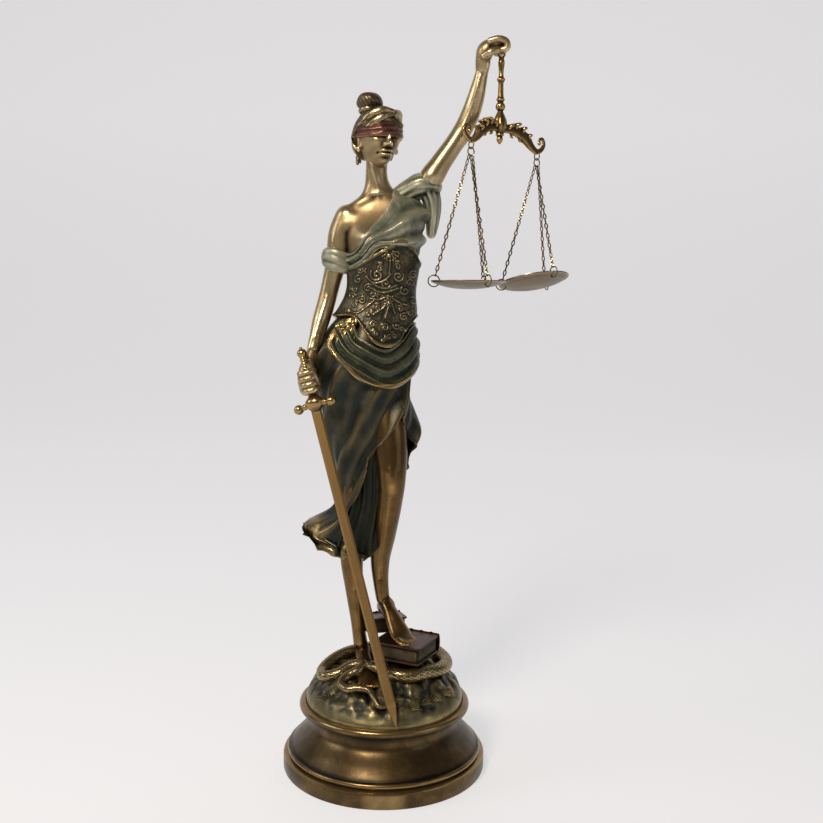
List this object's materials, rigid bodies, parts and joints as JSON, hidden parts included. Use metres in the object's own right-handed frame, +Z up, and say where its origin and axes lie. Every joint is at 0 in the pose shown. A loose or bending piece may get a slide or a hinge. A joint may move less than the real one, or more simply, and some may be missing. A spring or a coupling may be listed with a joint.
{
  "type": "lady justice statue",
  "caption": "Cast bronze-finish figure of blindfolded Justice on a turned plinth, with a sword resting on its rim and hanging balance scales in the raised hand.",
  "frame": {"origin": "centre of the plinth's flat underside", "axes": "+Z up, -Y to the statue's front, +X to the side of her raised left hand"},
  "size_m": [0.2908, 0.212, 0.7429],
  "materials": {
    "bronze_figure": "cold-cast bronze resin, dark in the hollows and rubbed gold on the ridges, with green-grey drapery",
    "bronze_plinth": "cold-cast bronze resin, satin, rubbed gold on its edges",
    "sword_gold": "satin ochre-gold",
    "beam_bronze": "cast antique bronze, rubbed gold on its ridges",
    "pan_brass": "thin pressed antique brass, satin",
    "chain_steel": "dark antique-plated wire"
  },
  "bodies": {
    "root": {"plinth": "bronze_plinth", "figure": "bronze_figure", "sword": "sword_gold", "scale_beam": "beam_bronze", "hook_link_left": "chain_steel", "hook_link_right": "chain_steel", "gather_ring_left": "chain_steel", "gather_ring_right": "chain_steel", "chain_left_1": "chain_steel", "chain_left_2": "chain_steel", "chain_left_3": "chain_steel", "chain_right_1": "chain_steel", "chain_right_2": "chain_steel", "chain_right_3": "chain_steel", "rim_ring_left_1": "chain_steel", "rim_ring_left_2": "chain_steel", "rim_ring_left_3": "chain_steel", "rim_ring_right_1": "chain_steel", "rim_ring_right_2": "chain_steel", "rim_ring_right_3": "chain_steel", "pan_left": "pan_brass", "pan_right": "pan_brass"}
  },
  "joints": []
}
